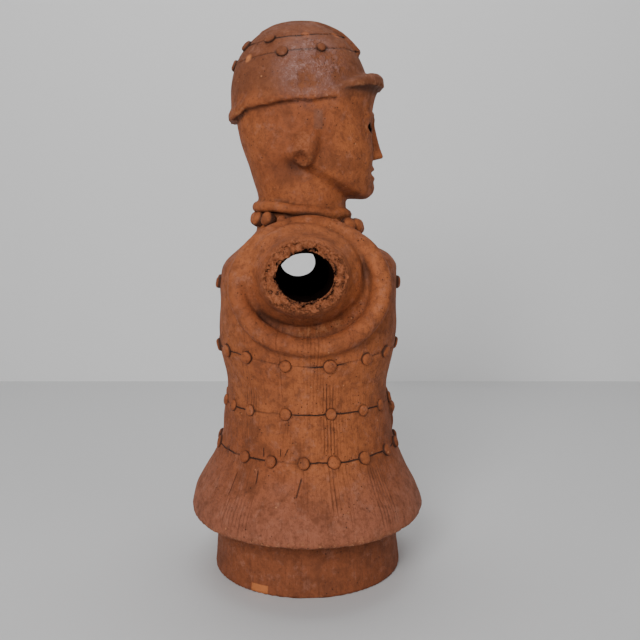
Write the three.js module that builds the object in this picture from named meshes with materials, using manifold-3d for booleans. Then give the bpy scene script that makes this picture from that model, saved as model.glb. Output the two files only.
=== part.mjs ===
// A hollow clay haniwa, open below: a warrior in a pelleted cuirass and visored helmet on a round foot.
// Both arms are broken off at the shoulder, which leaves a short hollow stump on each side.
// Millimetres, +Z up. The face looks along -Y, and the origin is the centre of the foot's underside.
import * as THREE from 'three';
import { mergeVertices } from 'three/addons/utils/BufferGeometryUtils.js';
import Module from 'manifold-3d';

// Driving sizes
const figureHeight = 518;
const footHeight = 57; // underside to the skirt's hem
const footRadius = 91.5; // at the underside
const footTaper = 5; // how much narrower the foot is where the skirt hides it
const skirtRecess = 18; // how far the hollow under the hem rises
const hemThickness = 9;
const wall = 13;
const neckBoreRadius = 26;
const neckBoreSetBack = 4; // middle of the neck's bore behind the middle of the body
const armHoleRadius = 20.5;
const armSetBack = 6; // arm axis behind the middle of the body
const stumpReach = 112; // middle plane to the broken end
const stumpEndHalfWidth = 35;
const stumpEndHalfHeight = 31;
const stumpFlare = 14; // how much wider the stump is at its root
const dishDepth = 8; // valley between the stump and the armhole's lip
const lipTubeRadius = 8.5; // rounded edge of the armhole
const pelletRadius = 6.2;
const pelletHeight = 3;
const beadRadius = 7;
const collarTubeRadius = 4;
const visorReach = 14; // beyond the rim, at the middle of the forehead
const visorRise = 21;
const crestWidth = 30;
const crestThickness = 5; // at its front end
const sunk = 2; // how deep an applied piece of clay is bedded in the surface below it

// The body's free form, as thousandths of the height above the hem
const unit = (figureHeight - footHeight) / 1000;
const level = (thousandths) => footHeight + thousandths * unit;

// Each row is [height, reach forwards, reach backwards, half width, squareness].
const torsoShares = [
  [17, 244, 245, 263, 2.0],
  [48, 233, 237, 251, 2.0],
  [89, 211, 214, 226, 2.0],
  [124, 195, 194, 208, 2.0],
  [161, 181, 180, 194, 2.05],
  [202, 176, 176, 189, 2.1],
  [267, 167, 167, 181, 2.15],
  [342, 180, 180, 191, 2.3],
  [386, 184, 182, 190, 2.5],
  [440, 182, 179, 182, 2.8],
  [494, 181, 177, 176, 3.0],
  [523, 178, 167, 169, 3.0],
  [540, 163, 149, 161, 2.8],
  [561, 122, 125, 135, 2.5],
  [584, 99, 104, 108, 2.2],
  [606, 80, 92, 88, 2.0],
  [620, 55, 70, 60, 2.0],
];
const headShares = [
  [590, 81, 99, 88, 2.0],
  [637, 80, 99, 86, 2.0],
  [644, 108, 99, 91, 2.0],
  [655, 127, 100, 97, 2.1],
  [670, 134, 104, 103, 2.2],
  [701, 135, 114, 108, 2.3],
  [765, 133, 135, 117, 2.3],
  [831, 130, 144, 118, 2.2],
  [864, 124, 144, 114, 2.1],
];
const armLevel = level(503);
const waistCavityLevel = level(160); // the inside follows the torso from here up
const shoulderCavityLevel = level(492);

const wasm = await Module();
wasm.setup();

// A geometry as a solid with its faces turned outwards
function solidOf(geometry) {
  const bare = geometry.index ? geometry.toNonIndexed() : geometry.clone();
  bare.deleteAttribute('normal');
  bare.deleteAttribute('uv');
  const merged = mergeVertices(bare, 1e-3);
  const mesh = (triVerts) => new wasm.Mesh({
    numProp: 3,
    vertProperties: merged.attributes.position.array,
    triVerts,
  });
  const made = new wasm.Manifold(mesh(new Uint32Array(merged.index.array)));
  if (made.volume() > 0) return made;
  return new wasm.Manifold(mesh(new Uint32Array(merged.index.array).reverse()));
}

function geometryOf(solid) {
  const mesh = solid.getMesh();
  const points = new Float32Array(mesh.numVert * 3);
  for (let i = 0; i < mesh.numVert; i++) {
    points.set(mesh.vertProperties.subarray(i * mesh.numProp, i * mesh.numProp + 3), i * 3);
  }
  const geometry = new THREE.BufferGeometry();
  geometry.setAttribute('position', new THREE.BufferAttribute(points, 3));
  geometry.setIndex(new THREE.BufferAttribute(mesh.triVerts, 1));
  geometry.computeVertexNormals();
  return geometry;
}

// A skin over rings of equally many points, closed by a fan at each end, or joined end to end into a loop
function skin(rings, isLoop = false) {
  const count = rings[0].length;
  const points = rings.flat();
  const faces = [];
  const last = isLoop ? rings.length : rings.length - 1;
  for (let r = 0; r < last; r++) {
    const below = r * count;
    const above = ((r + 1) % rings.length) * count;
    for (let i = 0; i < count; i++) {
      const j = (i + 1) % count;
      faces.push(below + i, below + j, above + j, below + i, above + j, above + i);
    }
  }
  if (!isLoop) {
    [rings[0], rings[rings.length - 1]].forEach((ring, end) => {
      const middle = ring.reduce((sum, p) => sum.add(p), new THREE.Vector3()).divideScalar(count);
      const start = end * (rings.length - 1) * count;
      for (let i = 0; i < count; i++) {
        const pair = [start + i, start + ((i + 1) % count)];
        if (end === 0) pair.reverse();
        faces.push(points.length, ...pair);
      }
      points.push(middle);
    });
  }
  const geometry = new THREE.BufferGeometry().setFromPoints(points);
  geometry.setIndex(faces);
  return geometry;
}

// Distance from the axis to a rounded-square outline, in the direction of an angle from +X
function outlineRadius(angle, [, front, back, side, squareness]) {
  const depth = Math.sin(angle) < 0 ? front : back;
  const across = Math.abs(Math.cos(angle) / side) ** squareness;
  const along = Math.abs(Math.sin(angle) / depth) ** squareness;
  return (across + along) ** (-1 / squareness);
}

function outlineRing(row, segments) {
  return Array.from({ length: segments }, (_, i) => {
    const angle = (i / segments) * 2 * Math.PI;
    const radius = outlineRadius(angle, row);
    return new THREE.Vector3(radius * Math.cos(angle), radius * Math.sin(angle), row[0]);
  });
}

// A smooth reading of rows at any height
function rowReader(rows) {
  const size = rows[0].length;
  const reader = new THREE.CubicInterpolant(rows.map((row) => row[0]), rows.flat(), size);
  return (z) => [z, ...Array.from(reader.evaluate(z)).slice(1)];
}

// A closed solid through rows, with extra rings where two rows are far apart
function loft(rows, segments, longestStep) {
  const at = rowReader(rows);
  const rings = [outlineRing(rows[0], segments)];
  for (let i = 1; i < rows.length; i++) {
    const gap = rows[i][0] - rows[i - 1][0];
    const steps = Math.max(1, Math.round(gap / longestStep));
    for (let s = 1; s <= steps; s++) {
      rings.push(outlineRing(at(rows[i - 1][0] + (gap * s) / steps), segments));
    }
  }
  return solidOf(skin(rings));
}

const inMillimetres = ([z, front, back, side, squareness]) => [
  level(z), front * unit, back * unit, side * unit, squareness];

// A small handmade unevenness from -1 to 1, the same each time for the same number
const uneven = (n) => Math.sin(n * 12.9898 + 4.1) * Math.cos(n * 7.233 + 1.7);

// A round tube along a closed path
function closedTube(path, steps, sides, radius) {
  const frames = path.computeFrenetFrames(steps, true);
  const rings = [];
  for (let s = 0; s < steps; s++) {
    const centre = path.getPointAt(s / steps);
    rings.push(Array.from({ length: sides }, (_, i) => {
      const angle = (i / sides) * 2 * Math.PI;
      return centre.clone()
        .addScaledVector(frames.normals[s], radius * Math.cos(angle))
        .addScaledVector(frames.binormals[s], radius * Math.sin(angle));
    }));
  }
  return solidOf(skin(rings, true));
}

function ellipsoid(radii, place, segments = 12, rings = 8) {
  const geometry = new THREE.SphereGeometry(1, segments, rings);
  geometry.scale(radii.x, radii.y, radii.z);
  geometry.translate(place.x, place.y, place.z);
  return solidOf(geometry);
}

const torsoRows = torsoShares.map(inMillimetres);
const torsoAt = rowReader(torsoRows);

// Foot: a short round drum that narrows a little upwards and disappears under the skirt
function foot() {
  const top = footHeight + skirtRecess + hemThickness;
  const profile = [
    new THREE.Vector2(0, 0),
    new THREE.Vector2(footRadius, 0),
    new THREE.Vector2(footRadius - footTaper * 0.8, footHeight * 0.7),
    new THREE.Vector2(footRadius - footTaper, top),
    new THREE.Vector2(0, top),
  ];
  return solidOf(new THREE.LatheGeometry(profile, 30).rotateX(Math.PI / 2));
}

// Cuirass and neck: the flared skirt, the waist, the squarer chest and the slope to the neck
function cuirass() {
  const lowest = torsoRows[0];
  const hemEdge = [footHeight + hemThickness * 0.3, ...lowest.slice(1)];
  const hemUnder = [footHeight, ...lowest.slice(1, 4).map((reach) => reach - hemThickness * 0.5), lowest[4]];
  const body = loft([hemUnder, hemEdge, ...torsoRows], 34, 40);
  const inset = hemThickness * 0.9;
  const recessRows = [
    [footHeight - 1, ...lowest.slice(1, 4).map((reach) => reach - inset), lowest[4]],
    [footHeight + skirtRecess, ...Array(3).fill(footRadius - footTaper - 1), 2],
  ];
  return body.subtract(loft(recessRows, 24, skirtRecess));
}

// Stump of an arm: a flared oval spout with an uneven broken end
function stump(side) {
  const flare = stumpFlare / stumpEndHalfWidth;
  const rings = [
    [stumpReach - 70, 1 + flare],
    [stumpReach - 34, 1 + flare * 0.98],
    [stumpReach - 27, 1 + flare * 0.78],
    [stumpReach - 18, 1 + flare * 0.38],
    [stumpReach - 3, 1.01],
    [stumpReach, 0.9],
  ].map(([reach, spread], ring) => Array.from({ length: 20 }, (_, i) => {
    const angle = (i / 20) * 2 * Math.PI;
    const rough = ring < 4 ? 0 : uneven(i * 3 + ring + side) * 1.2;
    return new THREE.Vector3(
      side * (reach + rough),
      armSetBack + (stumpEndHalfWidth * spread + rough) * Math.cos(angle),
      armLevel + (stumpEndHalfHeight * spread + rough) * Math.sin(angle),
    );
  }));
  return solidOf(skin(rings));
}

function armBore(side) {
  const bore = new THREE.CylinderGeometry(armHoleRadius, armHoleRadius * 1.05, stumpReach, 16);
  bore.rotateZ(-side * Math.PI / 2);
  bore.translate(side * (stumpReach / 2 + 30), armSetBack, armLevel);
  return solidOf(bore);
}

// The middle of an armhole's lip: low under the arm, and leaning in to the neck above it
function armholeRing(side, spread = 1, inwards = 0) {
  return Array.from({ length: 18 }, (_, i) => {
    const angle = (i / 18) * 2 * Math.PI;
    const rise = Math.sin(angle);
    const lean = Math.max(0, rise) ** 1.5;
    const reach = (184 - 14 * Math.cos(angle) ** 2 - 66 * lean) * unit - inwards;
    return new THREE.Vector3(
      side * reach,
      (1 + 137 * spread * Math.sign(Math.cos(angle)) * Math.abs(Math.cos(angle)) ** 0.9) * unit,
      level(480) + (110 + 3 * lean) * spread * unit * rise,
    );
  });
}

// Armhole: a rounded lip with a shallow dish inside it, from which the stump stands
function armhole(side) {
  const path = new THREE.CatmullRomCurve3(armholeRing(side), true);
  const lip = closedTube(path, 18, 6, lipTubeRadius);
  const rings = [armholeRing(side, 0.92, 40), armholeRing(side), armholeRing(side, 0.82, dishDepth)];
  return lip.add(solidOf(skin(rings)));
}

// Head below the helmet
const headRows = headShares.map(inMillimetres);
const headAt = rowReader(headRows);
const head = () => loft(headRows, 22, 40);

// Helmet: a bowl with a thick rim, tilted back a little. Heights are above its rim.
const helmetTilt = THREE.MathUtils.degToRad(6);
const helmetPlace = new THREE.Vector3(0, 12 * unit, level(837));
const bowlHeight = 161 * unit;
const bowlFullness = 2.15; // 2 would be an ellipse from the side
const bowlTop = helmetPlace.z + bowlHeight * Math.cos(helmetTilt);
const bowlDepth = 142 * unit;
const bowlHalfWidth = 126 * unit;
const rimProud = 2;

function placeHelmet(solid) {
  return solid
    .rotate([-THREE.MathUtils.radToDeg(helmetTilt), 0, 0])
    .translate(helmetPlace.toArray());
}

function bowlRow(rise) {
  const reach = (1 - Math.abs(rise / bowlHeight) ** bowlFullness) ** (1 / bowlFullness);
  return [rise, bowlDepth * reach, bowlDepth * reach, bowlHalfWidth * reach, 2.1];
}

function helmetBowl() {
  const dome = [0.12, 0.3, 0.48, 0.64, 0.78, 0.89, 0.965, 0.995].map((share) => bowlRow(share * bowlHeight));
  const rim = [[-6, -5], [-4, 0.5], [3, rimProud], [7, rimProud * 0.6]].map(([rise, proud]) => (
    [rise, bowlDepth + proud, bowlDepth + proud, bowlHalfWidth + proud, 2.1]));
  return solidOf(skin([...rim, ...dome.slice(1)].map((row) => outlineRing(row, 26))));
}

// Crest: a band over the crown, thin behind and blunt at its front end, cut from a larger and taller bowl
function crest() {
  const rows = [0, 0.3, 0.5, 0.66, 0.79, 0.89, 0.96, 0.995].map((share) => {
    const [rise, depth, , halfWidth, squareness] = bowlRow(share * bowlHeight);
    return [rise, depth, depth, halfWidth, squareness];
  });
  const stretch = (reach) => 1 + crestThickness / reach;
  const larger = solidOf(skin(rows.map((row) => outlineRing(row, 26).map((point) => new THREE.Vector3(
    point.x * stretch(bowlHalfWidth),
    point.y * stretch(bowlDepth * 1.6) - crestThickness * 0.4,
    point.z * (1 + (figureHeight - bowlTop) / bowlHeight),
  )))));
  const start = THREE.MathUtils.degToRad(34);
  const stop = THREE.MathUtils.degToRad(115);
  const far = bowlDepth * 2;
  const fan = new THREE.Shape([
    new THREE.Vector2(0, 0),
    new THREE.Vector2(far * Math.cos(start), far * Math.sin(start)),
    new THREE.Vector2(far * Math.cos(stop), far * Math.sin(stop)),
  ]);
  const slab = new THREE.ExtrudeGeometry(fan, { depth: crestWidth, bevelEnabled: false });
  slab.rotateX(Math.PI / 2).rotateZ(-Math.PI / 2).translate(crestWidth / 2, 0, 0);
  return larger.intersect(solidOf(slab));
}

// Visor: the front of the rim turned up and out into a thick wedge
function visor() {
  const spread = THREE.MathUtils.degToRad(66);
  const steps = 14;
  const rings = [];
  for (let s = 0; s <= steps; s++) {
    const turn = -spread + (2 * spread * s) / steps;
    const size = Math.cos((turn / spread) * (Math.PI / 2)) ** 0.7;
    const outward = new THREE.Vector3(Math.sin(turn), -Math.cos(turn), 0);
    const root = new THREE.Vector3(bowlHalfWidth * Math.sin(turn), -bowlDepth * Math.cos(turn), 0);
    const reach = 2 + (visorReach - 2) * size;
    const rise = 7 + (visorRise - 7) * size;
    rings.push([
      [-6, -4], [1, -5], [reach * 0.62, rise * 0.08], [reach, rise * 0.45],
      [reach, rise * 0.75], [reach * 0.65, rise], [-6 * size - 2, rise * 0.95],
    ].map(([a, b]) => root.clone().addScaledVector(outward, a).setZ(b)));
  }
  return solidOf(skin(rings));
}

// One flat clay pellet, pressed on at a point and standing along a direction
function pellet(point, direction, radius = pelletRadius) {
  const profile = [[0, -sunk], [radius, -sunk], [radius * 0.85, pelletHeight], [0, pelletHeight]];
  const disc = new THREE.LatheGeometry(profile.map(([r, h]) => new THREE.Vector2(r, h)), 6);
  disc.applyQuaternion(new THREE.Quaternion().setFromUnitVectors(new THREE.Vector3(0, 1, 0), direction));
  disc.translate(point.x, point.y, point.z);
  return solidOf(disc);
}

// Point and outward direction on a lofted surface at an angle from +X and a height
function surfaceAt(rowAt, angle, z) {
  const place = (a, height) => {
    const row = rowAt(height);
    const radius = outlineRadius(a, row);
    return new THREE.Vector3(radius * Math.cos(a), radius * Math.sin(a), height);
  };
  const step = 0.01;
  const point = place(angle, z);
  const around = place(angle + step, z).sub(place(angle - step, z));
  const up = place(angle, z + 1).sub(place(angle, z - 1));
  return [point, around.cross(up).normalize()];
}

// Rows of pellets round the cuirass. Angles in degrees run from the figure's right side towards the front.
// A row's dip is how much lower it hangs under the arms, and its nudges are how far single pellets
// were pressed on out of step.
const pelletRows = [
  {
    height: 147, dip: 0, count: 19, first: -4, lost: [16],
    nudges: { 1: -2.4, 2: -2, 3: 1, 4: 1, 17: 1 },
  },
  {
    height: 238, dip: 0, count: 16, first: 9, lost: [],
    nudges: { 0: 3, 1: 2.5, 2: -1.5, 3: 3, 12: 4, 14: -3.5, 15: -1.5 },
  },
  {
    height: 354, dip: 23, count: 16, first: 9, lost: [],
    nudges: { 0: 1.5, 1: 1.5, 2: -4, 3: 4, 12: 4, 13: 1.5, 14: -2.5, 15: -1 },
  },
  {
    height: 482, dip: 0, count: 20, first: 0, lost: [0, 1, 2, 3, 7, 8, 9, 10, 11, 12, 13, 17, 18, 19],
    nudges: {},
  },
];

function cuirassPellets() {
  const made = [];
  pelletRows.forEach(({ height, dip, count, first, lost, nudges }) => {
    for (let i = 0; i < count; i++) {
      if (lost.includes(i)) continue;
      const turn = first + (360 / count) * i + (nudges[i] ?? 0);
      const angle = THREE.MathUtils.degToRad(180 + turn);
      const z = level(height - dip * Math.cos(angle) ** 4);
      made.push(pellet(...surfaceAt(torsoAt, angle, z)));
    }
  });
  return made;
}

// Two level rows of pellets round the helmet's bowl. The crest covers their front places.
const helmetRows = [
  { rise: 41, count: 10, first: -14, lost: [9] },
  { rise: 55, count: 9, first: -29, lost: [1, 2] },
];

function helmetPellets() {
  const made = [];
  for (const { rise, count, first, lost } of helmetRows) {
    for (let i = 0; i < count; i++) {
      const angle = THREE.MathUtils.degToRad(180 + first + (360 / count) * i);
      const isUnderCrest = Math.sin(angle) < 0 && Math.abs(Math.cos(angle)) * bowlHalfWidth < crestWidth;
      if (lost.includes(i) || isUnderCrest) continue;
      made.push(pellet(...surfaceAt(bowlRow, angle, rise), pelletRadius * 0.85));
    }
  }
  return made;
}

// Collar cord and the string of large beads below it. Both hang a little lower in front.
const beadRing = { level: level(594), dip: 4, halfWidth: 108 * unit, halfDepth: 101 * unit, middle: 1 * unit };

function collar() {
  const points = Array.from({ length: 20 }, (_, i) => {
    const angle = (i / 20) * 2 * Math.PI;
    return new THREE.Vector3(
      90 * unit * Math.cos(angle),
      (10 + 93 * Math.sin(angle)) * unit,
      level(627) + 4 * Math.sin(angle) + uneven(i) * 0.5,
    );
  });
  return closedTube(new THREE.CatmullRomCurve3(points, true), 18, 5, collarTubeRadius);
}

function beads() {
  const count = 20;
  const worn = [9, 10]; // lost over the near shoulder
  const made = [];
  for (let i = 0; i < count; i++) {
    if (worn.includes(i)) continue;
    const angle = ((i + 0.5) / count) * 2 * Math.PI;
    const place = new THREE.Vector3(
      beadRing.halfWidth * Math.cos(angle),
      beadRing.middle + beadRing.halfDepth * Math.sin(angle),
      beadRing.level + beadRing.dip * Math.sin(angle),
    );
    made.push(ellipsoid(new THREE.Vector3(beadRadius, beadRadius, beadRadius), place, 6, 4));
  }
  return made;
}

// Ear: a worn ridge that stands off the head, with a hollow behind its lower end
function withEars(solid) {
  let made = solid;
  for (const side of [-1, 1]) {
    const place = new THREE.Vector3(side * 113 * unit, 12 * unit, level(775));
    made = made.add(ellipsoid(new THREE.Vector3(9, 13, 22), place, 10, 6));
    const hollow = place.clone().add(new THREE.Vector3(side * 8, 4, -13));
    made = made.subtract(ellipsoid(new THREE.Vector3(8, 9, 13), hollow, 8, 6));
  }
  return made;
}

// Face on plain thirds: a wedge nose, almond eyes and a short mouth, all cut by simple tools
const faceFront = 133 * unit;
const browLevel = level(812);
const chinLevel = level(643);
const faceLength = browLevel - chinLevel;

function nose() {
  const length = faceLength * 0.48;
  const rows = [[0, 3, 1], [0.35, 4, 4], [0.8, 7, 9], [0.95, 8, 10], [1, 6.5, 7]];
  const rings = rows.map(([down, halfWidth, proud]) => [
    [-halfWidth, 4], [-halfWidth * 0.55, -proud * 0.75], [0, -proud], [halfWidth * 0.55, -proud * 0.75], [halfWidth, 4],
  ].map(([x, y]) => new THREE.Vector3(x, -faceFront + y, browLevel - down * length)));
  return solidOf(skin(rings));
}

function slit(halfWidth, halfHeight, x, z) {
  const shape = new THREE.Shape();
  shape.moveTo(-halfWidth, 0);
  shape.quadraticCurveTo(0, halfHeight * 2, halfWidth, 0);
  shape.quadraticCurveTo(0, -halfHeight * 2, -halfWidth, 0);
  const cut = new THREE.ExtrudeGeometry(shape, { depth: faceFront, bevelEnabled: false, curveSegments: 5 });
  cut.rotateX(Math.PI / 2).translate(x, -faceFront * 0.35, z);
  return solidOf(cut);
}

function faceCuts() {
  const eyeLevel = browLevel - faceLength * 0.14;
  const mouthLevel = browLevel - faceLength * 0.66;
  return [slit(8.5, 3.2, -20, eyeLevel), slit(8.5, 3.2, 20, eyeLevel), slit(11, 2.4, 0, mouthLevel)];
}

// Tie of the cuirass: a knot of clay low on the chest
function tie() {
  const z = level(205);
  const y = -torsoAt(z)[1];
  return [
    ellipsoid(new THREE.Vector3(5.5, 5, 6), new THREE.Vector3(0, y, z), 6, 4),
    ellipsoid(new THREE.Vector3(10, 4.5, 6), new THREE.Vector3(-10, y, z + 5), 6, 4),
    ellipsoid(new THREE.Vector3(10, 4.5, 6), new THREE.Vector3(10, y, z + 5), 6, 4),
    ellipsoid(new THREE.Vector3(4.5, 4, 11), new THREE.Vector3(-6, y, z - 11), 6, 4),
    ellipsoid(new THREE.Vector3(4.5, 4, 11), new THREE.Vector3(6, y, z - 11), 6, 4),
  ];
}

// The hollow: from the open foot through the torso and the neck up into the helmet
function cavity() {
  const inFrom = (readRow, z, thickness = wall) => {
    const [, front, back, side, squareness] = readRow(z);
    return [z, front - thickness, back - thickness, side - thickness, squareness];
  };
  const shoulder = inFrom(torsoAt, shoulderCavityLevel);
  const neckAt = (z) => [z, neckBoreRadius - neckBoreSetBack, neckBoreRadius + neckBoreSetBack, neckBoreRadius, 2];
  const closing = (rise, share) => neckAt(shoulderCavityLevel + rise).map((value, i) => (
    i === 0 ? value : value + (shoulder[i] - value) * share));
  const drum = (z, radius) => [z, radius, radius, radius, 2];
  return loft([
    drum(-1, footRadius - wall),
    drum(footHeight, footRadius - footTaper - wall),
    inFrom(torsoAt, waistCavityLevel),
    inFrom(torsoAt, level(266)),
    inFrom(torsoAt, level(341)),
    inFrom(torsoAt, level(438)),
    shoulder,
    closing(wall, 0.8),
    closing(wall * 1.7, 0.4),
    closing(wall * 2.3, 0),
    neckAt(level(655)),
    inFrom(headAt, level(690), wall * 1.2),
    inFrom(headAt, level(760)),
    inFrom(headAt, level(835)),
    ...[[0.42, 0.86], [0.66, 0.68], [0.82, 0.24]].map(([rise, share]) => [
      helmetPlace.z + rise * bowlHeight,
      (bowlDepth - wall) * share - rise * wall * 0.5,
      (bowlDepth - wall) * share + rise * wall * 0.5,
      (bowlHalfWidth - wall) * share,
      2,
    ]),
  ], 20, 200);
}

function figure() {
  const outside = [
    foot(), cuirass(), head(), stump(-1), stump(1), armhole(-1), armhole(1),
    ...[helmetBowl(), crest(), visor(), ...helmetPellets()].map(placeHelmet),
    collar(), ...beads(), ...cuirassPellets(), ...tie(), nose(),
  ].reduce((all, piece) => all.add(piece));
  const hollows = [cavity(), armBore(-1), armBore(1), ...faceCuts()].reduce((all, piece) => all.add(piece));
  const clay = new THREE.MeshStandardMaterial({ color: 0xa8603f, roughness: 0.85, metalness: 0 });
  const mesh = new THREE.Mesh(geometryOf(withEars(outside).subtract(hollows)), clay);
  mesh.name = 'haniwa_figure';
  return mesh;
}

const haniwa = new THREE.Group();
haniwa.add(figure());

export default haniwa;
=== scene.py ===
# Hollow terracotta haniwa warrior: the form is worked out as a distance field in millimetres,
# then made a mesh, refined where the clay is cut or broken, and dressed.
import math
import time

import bmesh
import bpy
import numpy as np
import openvdb
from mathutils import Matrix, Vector, noise


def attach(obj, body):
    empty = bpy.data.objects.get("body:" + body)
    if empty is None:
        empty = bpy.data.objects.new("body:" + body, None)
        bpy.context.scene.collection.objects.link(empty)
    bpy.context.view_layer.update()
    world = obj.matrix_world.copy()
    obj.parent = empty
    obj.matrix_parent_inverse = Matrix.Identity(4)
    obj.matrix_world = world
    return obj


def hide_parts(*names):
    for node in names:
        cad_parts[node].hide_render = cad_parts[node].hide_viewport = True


started = time.time()
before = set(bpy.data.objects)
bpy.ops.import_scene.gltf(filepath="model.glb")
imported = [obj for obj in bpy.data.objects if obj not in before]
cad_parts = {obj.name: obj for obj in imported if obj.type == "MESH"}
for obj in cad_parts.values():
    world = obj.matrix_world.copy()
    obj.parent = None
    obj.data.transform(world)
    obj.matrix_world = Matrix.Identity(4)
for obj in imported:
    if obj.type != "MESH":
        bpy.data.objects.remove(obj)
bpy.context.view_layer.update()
print("frame loaded")

# camera
camera = {
    "place": (-0.7595, 0.0299, 0.333),
    "turn": -93.2,  # degrees, from looking along +Y
    "tilt": 6.955,  # degrees downwards
    "lens": 44.325,
}
cameraData = bpy.data.cameras.new("camera")
cameraData.lens = camera["lens"]
cameraData.sensor_width = 36
cameraData.clip_start = 0.01
cameraObject = bpy.data.objects.new("camera", cameraData)
cameraObject.location = camera["place"]
cameraObject.rotation_euler = (math.radians(90 - camera["tilt"]), 0, math.radians(camera["turn"]))
bpy.context.scene.collection.objects.link(cameraObject)
bpy.context.scene.camera = cameraObject

# the form, in millimetres
body = {
    "height": 518,
    "hem": 57,  # level of the skirt's lower edge
    "footRadius": 91.5,
    "footTaper": 5,
    "wall": 13,
    "recess": 18,  # how far the hollow under the hem rises
    "armLevel": 288.9,
    "armBack": 6,
    "stumpReach": 112,
    "stumpHalf": (36.3, 32),
    "lipRadius": 8.5,
    "neckBore": 26,
    "neckBack": 4,
    "step": 3.05,  # grid the mesh is taken from
    "innerKeep": 0.15,  # share of the faces kept inside the hollow
}
unit = (body["height"] - body["hem"]) / 1000


def level(thousandths):
    return body["hem"] + thousandths * unit


# rows: thousandths of the height above the hem, reach forwards, reach backwards, half width, squareness
torsoRows = [
    (17, 244, 245, 263, 2.0), (48, 233, 237, 251, 2.0), (89, 211, 214, 226, 2.0), (124, 195, 194, 208, 2.0),
    (161, 181, 180, 194, 2.05), (202, 176, 176, 189, 2.1), (267, 167, 167, 181, 2.15), (342, 180, 180, 191, 2.3),
    (386, 184, 182, 190, 2.5), (440, 182, 179, 182, 2.8), (494, 181, 177, 176, 3.0), (523, 178, 167, 169, 3.0),
    (540, 163, 149, 161, 2.8), (561, 122, 125, 135, 2.5), (584, 99, 104, 108, 2.2), (606, 80, 92, 88, 2.0),
    (620, 55, 70, 60, 2.0),
]
headRows = [
    (590, 81, 99, 88, 2.0), (637, 80, 99, 86, 2.0), (644, 108, 99, 91, 2.0), (655, 127, 100, 97, 2.1),
    (670, 134, 104, 103, 2.2), (701, 135, 114, 108, 2.3), (765, 133, 135, 117, 2.3), (831, 130, 144, 118, 2.2),
    (864, 124, 144, 114, 2.1),
]
helmet = {
    "tilt": 6,  # degrees, front up
    "back": 12 * unit,
    "rim": level(837),
    "depth": 142 * unit,
    "half": 126 * unit,
    "high": 161 * unit,
    "full": 2.15,
    "crestWidth": 30,
    "crestThick": 5,
    "crestAhead": 34,  # degrees from the top to the crest's ends
    "crestBehind": 115,
    "visorReach": 14,
    "visorRise": 21,
    "visorSpread": 62,  # degrees from the front to where it ends
    "visorDrop": 11,
    "visorHollow": 4.6,
}
# rows of pellets: level, dip under the arms, how many, first one's turn from the right side, lost ones, nudges
pelletRows = [
    (147, 0, 19, -4, [16], {1: -2.4, 2: -2, 3: 1, 4: 1, 17: 1}),
    (238, 0, 16, 9, [], {0: 3, 1: 2.5, 2: -1.5, 3: 3, 12: 4, 14: -3.5, 15: -1.5}),
    (354, 23, 16, 9, [], {0: 1.5, 1: 1.5, 2: -4, 3: 4, 12: 4, 13: 1.5, 14: -2.5, 15: -1}),
    (482, 0, 20, 0, [0, 1, 2, 3, 7, 8, 9, 10, 11, 12, 13, 17, 18, 19], {}),
]
helmetRows = [(41, 10, -14, [9]), (55, 9, -29, [1, 2])]  # rise, how many, first, lost


def melt(a, b, soft):  # union with a soft join
    h = np.clip(0.5 + 0.5 * (b - a) / soft, 0, 1)
    return b + (a - b) * h - soft * h * (1 - h)


def both(a, b, soft):  # what a and b share, with a soft edge
    return -melt(-a, -b, soft)


def without(a, b, soft):
    return -melt(-a, b, soft)


def ramp(value, low, high):
    t = np.clip((value - low) / (high - low), 0, 1)
    return t * t * (3 - 2 * t)


def tableOf(rows):  # a smooth reading of the rows, every half millimetre
    rows = np.array(rows, float)
    z = body["hem"] + rows[:, 0] * unit
    values = rows[:, 1:] * np.array([unit, unit, unit, 1])
    slopes = np.gradient(values, z, axis=0)
    at = np.arange(z[0], z[-1] + 0.5, 0.5)
    i = np.clip(np.searchsorted(z, at, side="right") - 1, 0, len(z) - 2)
    gap = (z[i + 1] - z[i])[:, None]
    t = (at - z[i])[:, None] / gap
    read = ((1 + 2 * t) * (1 - t) ** 2 * values[i] + t * (1 - t) ** 2 * gap * slopes[i]
            + t * t * (3 - 2 * t) * values[i + 1] + t * t * (t - 1) * gap * slopes[i + 1])
    lean = 1 / np.sqrt(1 + np.gradient(read[:, 2], at) ** 2)
    return at, np.column_stack([read, lean]).T


torsoTable = tableOf(torsoRows)
headTable = tableOf(headRows)


def reachOf(table, x, y, z):
    front, back, side, square, lean = [np.interp(z, table[0], column) for column in table[1]]
    r = np.hypot(x, y) + 1e-6
    depth = np.where(y < 0, front, back)
    reach = (np.abs(x / (r * side)) ** square + np.abs(y / (r * depth)) ** square) ** (-1 / square)
    return r, reach, lean


def lofted(table, x, y, z):
    r, reach, lean = reachOf(table, x, y, z)
    return (r - reach) * lean


def lump(x, y, z, place, radii):
    q = np.sqrt(((x - place[0]) / radii[0]) ** 2 + ((y - place[1]) / radii[1]) ** 2
                + ((z - place[2]) / radii[2]) ** 2)
    return (q - 1) * min(radii)


def footAndSkirt(x, y, z):
    turn = np.arctan2(y, x)
    droop = 57 - 1.6 * np.abs(np.cos(turn)) ** 2 + 0.5 * np.sin(5 * turn + 1) + 0.4 * np.sin(11 * turn)
    torso = both(lofted(torsoTable, x, y, z), droop - z, 3.5)
    torso = both(torso, z - level(618), 3)
    r, reach, lean = reachOf(torsoTable, x, y, np.full_like(z, body["hem"]))
    inner = body["footRadius"] - body["footTaper"]
    under = body["hem"] + body["recess"] * np.clip((reach - 8 - r) / (reach - 8 - inner), 0, 1)
    torso = both(torso, (under - z) * 0.8, 4)
    taper = body["footTaper"] * np.clip(z / body["hem"], 0, 1) ** 0.8
    foot = r - (body["footRadius"] - taper)
    foot = both(both(foot, z - 88, 2), -z, 2.5)
    return melt(torso, foot, 5)


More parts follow.
